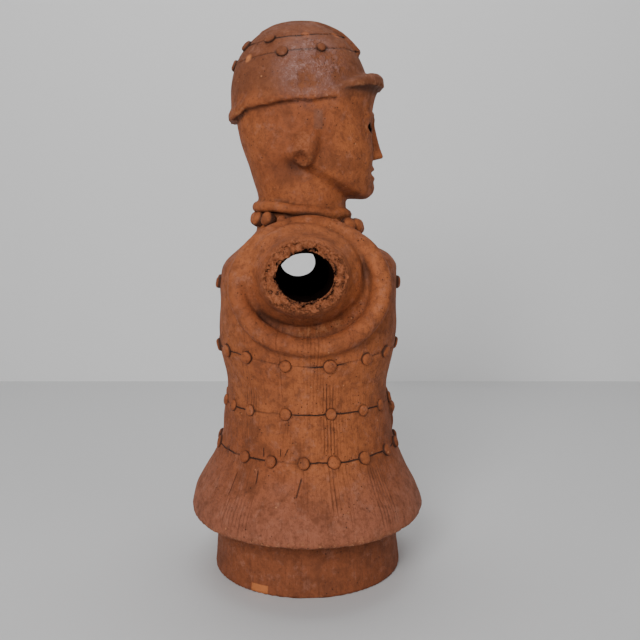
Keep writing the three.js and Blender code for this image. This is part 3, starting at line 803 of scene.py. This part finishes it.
def firedClay(name, isFigure):
    material, tree, shader = makeMaterial(name)
    coordinates = tree.nodes.new("ShaderNodeTexCoord").outputs["Object"]
    scaled = tree.nodes.new("ShaderNodeVectorMath")  # the same place in millimetres
    scaled.operation = "SCALE"
    scaled.inputs["Scale"].default_value = 1000
    tree.links.new(coordinates, scaled.inputs[0])
    place = scaled.outputs["Vector"]
    split = tree.nodes.new("ShaderNodeSeparateXYZ")
    tree.links.new(place, split.inputs[0])
    px, py, pz = split.outputs

    def calc(kind, a, b=0.0):
        return mathOf(tree, kind, a, b)

    def times(*values):
        made = values[0]
        for value in values[1:]:
            made = calc("MULTIPLY", made, value)
        return made

    def step(value, low, high, start=0.0, stop=1.0):
        return between(tree, value, low, high, start, stop)

    def cloud(scale, detail=3.0, rough=0.55, bend=0.0, at=place):
        return noiseTexture(tree, at, scale, detail, rough, bend)

    broad, patch, mottle = cloud(0.010), cloud(0.030, 4, 0.6, 0.6), cloud(0.12, 5, 0.65)
    grain, smear = cloud(0.8, 3, 0.6), cloud(0.055, 5, 0.7, 1.2)
    colour = mixColour(tree, step(broad, 0.38, 0.62), clayLook["base"], clayLook["orange"])
    low = step(calc("ADD", pz, times(patch, 70)), 165, 105)
    colour = mixColour(tree, times(low, 0.8), colour, clayLook["pink"])
    colour = mixColour(tree, step(pz, 66, 50, 0, 0.8), colour, clayLook["foot"])
    colour = mixColour(tree, step(patch, 0.50, 0.70, 0, 0.42), colour, clayLook["brown"])
    high = step(calc("ADD", pz, times(patch, 16)), 448, 462)
    colour = mixColour(tree, times(high, 0.72), colour, clayLook["helmet"])
    colour = mixColour(tree, step(smear, 0.50, 0.68, 0, 0.42), colour, clayLook["brown"])
    colour = mixColour(tree, times(step(cloud(0.085, 4, 0.7), 0.52, 0.68), 0.34), colour, clayLook["bloom"])
    colour = mixColour(tree, step(mottle, 0.42, 0.66, 0, 0.43), colour, clayLook["brown"])
    colour = mixColour(tree, step(cloud(0.35, 4, 0.75), 0.50, 0.64, 0, 0.46), colour, clayLook["brown"])
    dots = tree.nodes.new("ShaderNodeTexVoronoi")
    tree.links.new(place, dots.inputs["Vector"])
    dots.inputs["Scale"].default_value = 0.24
    speck = times(step(dots.outputs["Distance"], 0.17, 0.09), step(cloud(0.05, 2), 0.50, 0.60))
    colour = mixColour(tree, times(speck, 0.8), colour, clayLook["dark"])
    flakes = tree.nodes.new("ShaderNodeTexVoronoi")
    tree.links.new(place, flakes.inputs["Vector"])
    flakes.inputs["Scale"].default_value = 0.13
    chip = times(step(flakes.outputs["Distance"], 0.16, 0.07), step(cloud(0.045, 2, 0.5), 0.56, 0.64))
    colour = mixColour(tree, times(chip, 0.5), colour, clayLook["chip"])
    height = calc("ADD", times(mottle, 1.1), times(grain, 0.45))
    height = calc("SUBTRACT", height, calc("ADD", times(speck, 1.0), times(chip, 0.4)))
    height = calc("ADD", height, times(smear, 0.8))
    rough = step(mottle, 0.3, 0.7, clayLook["roughness"] - 0.08, clayLook["roughness"] + 0.08)
    if isFigure:
        ring = calc("SQRT", calc("ADD", times(px, px), times(py, py)))
        turn = calc("ARCTAN2", times(py, -1), times(px, -1))
        degrees = times(turn, 180 / math.pi)
        lengthwise = tree.nodes.new("ShaderNodeCombineXYZ")  # stretches a texture down the body
        feed(tree, lengthwise.inputs[0], calc("DIVIDE", px, ring))
        feed(tree, lengthwise.inputs[1], calc("DIVIDE", py, ring))
        feed(tree, lengthwise.inputs[2], times(pz, 0.0008))
        streak = cloud(34, 4, 0.7, 0, lengthwise.outputs[0])
        # comb strokes down the cuirass and skirt: listed swaths, and fainter ones all round
        teeth = round(2 * math.pi * 85 / clayLook["combPitch"])
        wave = calc("SINE", calc("ADD", times(turn, teeth), times(cloud(0.02, 2), 4)))
        where = times(step(cloud(5.5, 2, 0.5, 0, lengthwise.outputs[0]), 0.48, 0.60), 0.35)
        for start, stop, bottom, top, strength in combed:
            across = times(step(degrees, start, start + 2), step(degrees, stop, stop - 2))
            along = times(step(pz, bottom, bottom + 8), step(pz, top, top - 8))
            where = calc("MAXIMUM", where, times(across, along, strength))
        where = times(where, step(pz, 262, 235), step(pz, 56, 64))
        comb = times(step(wave, 0.25, 0.95), where, step(streak, 0.35, 0.6, 0.25, 1.0))
        streaks = times(step(streak, 0.52, 0.70), step(pz, 285, 240))
        height = calc("SUBTRACT", height, calc("ADD", times(comb, 1.0), times(streaks, 0.3)))
        colour = mixColour(tree, times(comb, 0.55), colour, clayLook["brown"])
        colour = mixColour(tree, times(streaks, 0.14), colour, clayLook["brown"])
        # scored lines that join the pellets, and the short slits in the skirt
        sway = calc("MULTIPLY", calc("SUBTRACT", cloud(0.05, 2), 0.5), 3)
        weight = step(cloud(0.022, 1), 0.40, 0.56, 0.25, 1.0)
        lines = 0.0
        dipping = calc("POWER", calc("ABSOLUTE", calc("DIVIDE", px, ring)), 4)
        for rowHigh, dip, *_ in pelletRows[:3]:
            off = calc("ADD", calc("SUBTRACT", pz, level(rowHigh)), sway)
            if dip:
                off = calc("ADD", off, times(dipping, dip * unit))
            on = step(calc("ABSOLUTE", off), clayLook["rowLine"] * 1.5, clayLook["rowLine"] * 0.5)
            lines = calc("MAXIMUM", lines, times(on, step(pz, 262, 255)))
        tilt = math.radians(helmet["tilt"])
        rise = calc("ADD", times(calc("SUBTRACT", pz, helmet["rim"]), math.cos(tilt)),
                    times(calc("SUBTRACT", py, helmet["back"]), math.sin(tilt)))
        for rowHigh, *_ in helmetRows:
            off = calc("ABSOLUTE", calc("ADD", calc("SUBTRACT", rise, rowHigh), times(sway, 0.7)))
            beside = step(calc("ABSOLUTE", px), helmet["crestWidth"] / 2 - 1, helmet["crestWidth"] / 2)
            lines = calc("MAXIMUM", lines, times(step(off, 0.8, 0.3), beside, 0.9))
        lines = times(lines, weight)
        for start, top, stop, bottom, half in cuts["slits"]:
            share = calc("DIVIDE", calc("SUBTRACT", top, pz), top - bottom)
            off = times(calc("SUBTRACT", calc("SUBTRACT", degrees, start), times(share, stop - start)), ring,
                        math.pi / 180)
            ends = times(step(pz, bottom - 1, bottom + 2), step(pz, top + 1, top - 2))
            slit = times(step(calc("ABSOLUTE", off), half * 1.5, half * 0.6), ends, 0.75)
            lines = calc("MAXIMUM", lines, slit)
        height = calc("SUBTRACT", height, times(lines, 0.8))
        colour = mixColour(tree, times(lines, 0.92), colour, clayLook["dark"])
        hemChips = times(step(pz, 68, 58), step(pz, 52, 55), step(ring, 96, 102),
                         step(cloud(0.28, 4, 0.8), 0.54, 0.64))
        colour = mixColour(tree, times(hemChips, 0.5), colour, clayLook["chip"])
        # a pale squared patch low on the foot, and a grey one at the temple
        pale = times(step(degrees, -36.9, -36.1), step(degrees, -25.2, -26.0),
                     step(pz, 0.8, 1.5), step(pz, 8.9, 8.0))
        colour = mixColour(tree, times(pale, 0.7), colour, clayLook["patch"])
        grey = times(step(py, -13, -11), step(py, -3, -5), step(pz, 414, 417), step(pz, 434, 431),
                     step(px, -40, -44))
        colour = mixColour(tree, times(grey, 0.4), colour, clayLook["grey"])
        # scars of lost pellets: fresh clay, darker for the worn ones
        for i, spot in enumerate(scars):
            scar = nearPoint(tree, place, tuple(spot), 5.2)
            tone = clayLook["scar"] if i == 1 else clayLook["orange"] if i > 1 else clayLook["brown"]
            colour = mixColour(tree, times(scar, 0.85), colour, tone)
            height = calc("SUBTRACT", height, times(scar, 0.7))
        # burnished side of the helmet: less rough, with a pinkish tone that partly paints its sheen, and painted
        # highlight streaks
        burnishAndSheen = times(nearPoint(tree, place, *clayLook["burnished"]), step(cloud(0.06, 4, 0.7), 0.36, 0.54))
        colour = mixColour(tree, times(burnishAndSheen, 0.45), colour, clayLook["burnishAndSheen"])
        paintedHighlight = times(burnishAndSheen, step(cloud(0.30, 4, 0.75, 0.8), 0.50, 0.64))
        colour = mixColour(tree, times(paintedHighlight, 0.35), colour, clayLook["paintedHighlight"])
        rough = calc("SUBTRACT", rough, times(burnishAndSheen, 0.5))
        height = calc("ADD", height, times(burnishAndSheen, cloud(0.22, 3, 0.6), 1.8))
        # attributes worked out with the mesh
        paintedShade, broken, pit, worn = [tree.nodes.new("ShaderNodeAttribute") for _ in range(4)]
        for node, attribute in ((paintedShade, "paintedShade"), (broken, "broken"), (pit, "pit"), (worn, "worn")):
            node.attribute_name = attribute
        paintedShade, broken, pit, worn = [node.outputs["Fac"] for node in (paintedShade, broken, pit, worn)]
        crumb = cloud(0.45, 4, 0.7)
        fresh = mixColour(tree, step(crumb, 0.35, 0.60), clayLook["base"], clayLook["fresh"])
        colour = mixColour(tree, times(broken, 0.85), colour, fresh)
        height = calc("ADD", height, times(crumb, broken, 4.0))
        rough = calc("ADD", rough, times(broken, 0.1))
        # sharp edges lighter: chipped wear, partly a painted edge highlight
        colour = mixColour(tree, times(step(worn, 0.18, 0.55), step(cloud(0.14, 4, 0.75), 0.46, 0.62), 0.32),
                           colour, clayLook["chip"])
        # painted shade in the pits of the breaks
        colour = mixColour(tree, step(pit, 0.25, 0.90, 0, 0.85), colour, clayLook["dark"])
        # painted shade where the clay is enclosed, on undersides, under the visor and round each pellet
        colour = mixColour(tree, step(paintedShade, 0.22, 0.80, 0, 0.72), colour, clayLook["dark"])
        # the darkest painted shade and the walls of the hollow turn nearly black, with less specular
        darkest = step(paintedShade, 0.84, 0.94)
        colour = mixColour(tree, times(darkest, 0.95), colour, clayLook["darkest"])
        feed(tree, shader.inputs["Specular IOR Level"], calc("SUBTRACT", 0.3, times(darkest, 0.3)))
    else:
        base = tree.nodes.new("ShaderNodeAttribute")
        base.attribute_name = "standing"
        # painted shade on the lower part of each pellet and bead, where it stands on the clay
        foot = step(base.outputs["Fac"], 0.62, 0.20)
        colour = mixColour(tree, times(foot, 0.85), colour, clayLook["dark"])
    bump = tree.nodes.new("ShaderNodeBump")
    bump.inputs["Distance"].default_value = 0.001
    bump.inputs["Strength"].default_value = 0.9
    tree.links.new(height, bump.inputs["Height"])
    tree.links.new(bump.outputs["Normal"], shader.inputs["Normal"])
    tree.links.new(colour, shader.inputs["Base Color"])
    tree.links.new(rough, shader.inputs["Roughness"])
    if not isFigure:
        shader.inputs["Specular IOR Level"].default_value = 0.3
    return material


figureClay = firedClay("fired clay", True)
dabClay = firedClay("fired clay dabs", False)
figureMesh.materials.clear()
figureMesh.materials.append(figureClay)


# pellets and beads
def dabTree():  # one rounded dab of clay on each point, standing along the point's own direction
    tree = bpy.data.node_groups.new("clay dabs", "GeometryNodeTree")
    sockets = tree.interface
    sockets.new_socket("Points", in_out="INPUT", socket_type="NodeSocketGeometry")
    for name, value in (("Radius", 0.006), ("Half height", 0.004), ("Roundness", 0.6), ("Unevenness", 0.0005)):
        sockets.new_socket(name, in_out="INPUT", socket_type="NodeSocketFloat").default_value = value
    sockets.new_socket("Clay", in_out="INPUT", socket_type="NodeSocketMaterial")
    sockets.new_socket("Dabs", in_out="OUTPUT", socket_type="NodeSocketGeometry")
    nodes, links = tree.nodes, tree.links
    start, stop = nodes.new("NodeGroupInput"), nodes.new("NodeGroupOutput")

    def calc(kind, a, b=0.0):
        node = nodes.new("ShaderNodeMath")
        node.operation = kind
        feed(tree, node.inputs[0], a)
        feed(tree, node.inputs[1], b)
        return node.outputs[0]

    ball = nodes.new("GeometryNodeMeshIcoSphere")
    ball.inputs["Radius"].default_value = 1
    ball.inputs["Subdivisions"].default_value = 3
    where = nodes.new("GeometryNodeInputPosition")
    split = nodes.new("ShaderNodeSeparateXYZ")
    links.new(where.outputs[0], split.inputs[0])
    sx, sy, sz = split.outputs
    wide = calc("MAXIMUM", calc("SQRT", calc("ADD", calc("MULTIPLY", sx, sx), calc("MULTIPLY", sy, sy))), 0.001)
    power = calc("SUBTRACT", start.outputs["Roundness"], 1)
    spread = calc("MULTIPLY", calc("POWER", wide, power), start.outputs["Radius"])
    tall = calc("MULTIPLY", calc("MULTIPLY", calc("SIGN", sz), calc("POWER", calc("ABSOLUTE", sz),
                start.outputs["Roundness"])), start.outputs["Half height"])
    join = nodes.new("ShaderNodeCombineXYZ")
    links.new(calc("MULTIPLY", sx, spread), join.inputs[0])
    links.new(calc("MULTIPLY", sy, spread), join.inputs[1])
    links.new(tall, join.inputs[2])
    form = nodes.new("GeometryNodeSetPosition")
    links.new(join.outputs[0], form.inputs["Position"])
    standing = nodes.new("GeometryNodeStoreNamedAttribute")
    standing.data_type, standing.domain = "FLOAT", "POINT"
    standing.inputs["Name"].default_value = "standing"
    links.new(ball.outputs["Mesh"], standing.inputs["Geometry"])
    links.new(sz, standing.inputs["Value"])
    links.new(standing.outputs["Geometry"], form.inputs["Geometry"])
    facing = nodes.new("GeometryNodeInputNamedAttribute")
    facing.data_type = "FLOAT_VECTOR"
    facing.inputs["Name"].default_value = "facing"
    turn = nodes.new("FunctionNodeAlignRotationToVector")
    turn.axis = "Z"
    links.new(facing.outputs["Attribute"], turn.inputs["Vector"])
    size = nodes.new("GeometryNodeInputNamedAttribute")
    size.data_type = "FLOAT_VECTOR"
    size.inputs["Name"].default_value = "size"
    place = nodes.new("GeometryNodeInstanceOnPoints")
    links.new(start.outputs["Points"], place.inputs["Points"])
    links.new(form.outputs["Geometry"], place.inputs["Instance"])
    links.new(turn.outputs["Rotation"], place.inputs["Rotation"])
    links.new(size.outputs["Attribute"], place.inputs["Scale"])
    real = nodes.new("GeometryNodeRealizeInstances")
    links.new(place.outputs["Instances"], real.inputs["Geometry"])
    blur = nodes.new("ShaderNodeTexNoise")
    blur.inputs["Scale"].default_value = 160
    blur.inputs["Detail"].default_value = 2
    push = nodes.new("ShaderNodeVectorMath")
    push.operation = "SCALE"
    direction = nodes.new("GeometryNodeInputNormal")
    links.new(direction.outputs[0], push.inputs[0])
    links.new(calc("MULTIPLY", calc("SUBTRACT", blur.outputs["Fac"], 0.5),
                   calc("MULTIPLY", start.outputs["Unevenness"], 4)), push.inputs["Scale"])
    uneven = nodes.new("GeometryNodeSetPosition")
    links.new(real.outputs["Geometry"], uneven.inputs["Geometry"])
    links.new(push.outputs[0], uneven.inputs["Offset"])
    smooth = nodes.new("GeometryNodeSetShadeSmooth")
    links.new(uneven.outputs["Geometry"], smooth.inputs["Geometry"])
    paint = nodes.new("GeometryNodeSetMaterial")
    links.new(smooth.outputs["Geometry"], paint.inputs["Geometry"])
    links.new(start.outputs["Clay"], paint.inputs["Material"])
    links.new(paint.outputs["Geometry"], stop.inputs["Dabs"])
    return tree


dabs = dabTree()


def makeDabs(name, spots, values):
    mesh = bpy.data.meshes.new(name)
    mesh.from_pydata([tuple(c * 0.001 for c in spot[0]) for spot in spots], [], [])
    for attribute, column in (("facing", 1), ("size", 2)):
        layer = mesh.attributes.new(attribute, "FLOAT_VECTOR", "POINT")
        layer.data.foreach_set("vector", [c for spot in spots for c in spot[column]])
    made = bpy.data.objects.new(name, mesh)
    bpy.context.scene.collection.objects.link(made)
    modifier = made.modifiers.new("dabs", "NODES")
    modifier.node_group = dabs
    sockets = {item.name: item.identifier for item in dabs.interface.items_tree if item.in_out == "INPUT"}
    for key, value in values.items():
        modifier[sockets[key]] = value
    baked = bpy.data.meshes.new_from_object(made.evaluated_get(bpy.context.evaluated_depsgraph_get()))
    made.modifiers.clear()
    made.data = baked
    baked.name = name
    return made


pelletSize = {"Radius": 0.0057, "Half height": 0.0047, "Roundness": 0.58, "Unevenness": 0.00045}
pellets = makeDabs("clay_pellets", pelletSpots, {**pelletSize, "Clay": dabClay})

beadRing = {"count": 18, "worn": [7, 8, 9, 10], "level": level(600), "dip": 4, "half": (108 * unit, 101 * unit),
            "middle": 0.5}
beadSize = {"Radius": 0.0080, "Half height": 0.0076, "Roundness": 0.85, "Unevenness": 0.0006}
spots = []
for i in range(beadRing["count"]):
    turn = (i + 0.5) / beadRing["count"] * 2 * math.pi
    guess = (beadRing["half"][0] * math.cos(turn), beadRing["middle"] + beadRing["half"][1] * math.sin(turn),
             beadRing["level"] + beadRing["dip"] * math.sin(turn))
    grow = 1 + 0.07 * uneven(i + 70) - 0.12 * math.sin(turn)  # the front ones are larger
    if i in beadRing["worn"]:
        grow *= 0.72
    spots.append((guess, (math.cos(turn), math.sin(turn), 0.4), (grow, grow * 0.95, grow)))
beads = makeDabs("clay_beads", spots, {**beadSize, "Clay": dabClay})
print("pellets and beads made", round(time.time() - started, 1), "s")

# floor, wall and lights
studio = {
    "wallFar": 0.89,
    "floor": (0.68, 0.682, 0.685, 1),
    "wall": (0.88, 0.88, 0.88, 1),
    "world": 0.14,
    # place, target, size, power
    "lights": {
        "key": ((-1.74, 0.60, 1.12), (0, 0, 0.3), (0.8, 0.8), 32),
        "fill": ((-1.4, -1.4, 1.0), (0, 0, 0.3), (1.4, 1.4), 5.5),
        "top": ((0.1, 0.1, 2.2), (0, 0, 0.2), (1.6, 1.6), 2),
        "wall": ((0.25, 0.0, 1.9), (0.9, 0, 0.6), (1.6, 0.6), 8.8),
    },
}


def plainSurface(name, colour, corners):
    material, tree, shader = makeMaterial(name)
    shader.inputs["Base Color"].default_value = colour
    shader.inputs["Roughness"].default_value = 0.7
    mesh = bpy.data.meshes.new(name)
    mesh.from_pydata(corners, [], [(0, 1, 2, 3)])
    mesh.materials.append(material)
    made = bpy.data.objects.new(name, mesh)
    bpy.context.scene.collection.objects.link(made)
    return made


ahead = Vector((math.cos(math.radians(3.2)), -math.sin(math.radians(3.2)), 0))
aside = Vector((-ahead.y, ahead.x, 0))
far = ahead * studio["wallFar"]
plainSurface("floor", studio["floor"], [tuple(far - aside * 4), tuple(far - ahead * 5 - aside * 4),
                                        tuple(far - ahead * 5 + aside * 4), tuple(far + aside * 4)])
plainSurface("wall", studio["wall"], [tuple(far - aside * 4), tuple(far + aside * 4),
                                      tuple(far + aside * 4 + Vector((0, 0, 3))),
                                      tuple(far - aside * 4 + Vector((0, 0, 3)))])


def softLight(name, place, target, size, power):
    data = bpy.data.lights.new(name, "AREA")
    data.shape = "RECTANGLE"
    data.size, data.size_y = size
    data.energy = power
    made = bpy.data.objects.new(name, data)
    made.location = place
    made.rotation_euler = (Vector(target) - Vector(place)).to_track_quat("-Z", "Y").to_euler()
    bpy.context.scene.collection.objects.link(made)
    return made


for name, settings in studio["lights"].items():
    softLight(name, *settings)
world = bpy.data.worlds.new("studio")
world.use_nodes = True
world.node_tree.nodes["Background"].inputs["Color"].default_value = (1, 1, 1, 1)
world.node_tree.nodes["Background"].inputs["Strength"].default_value = studio["world"]
bpy.context.scene.world = world

# what rides on the part
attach(figure, "root")
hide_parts("haniwa_figure")
for piece in (pellets, beads):
    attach(piece, "root")
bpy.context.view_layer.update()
print("ready", round(time.time() - started, 1), "s")
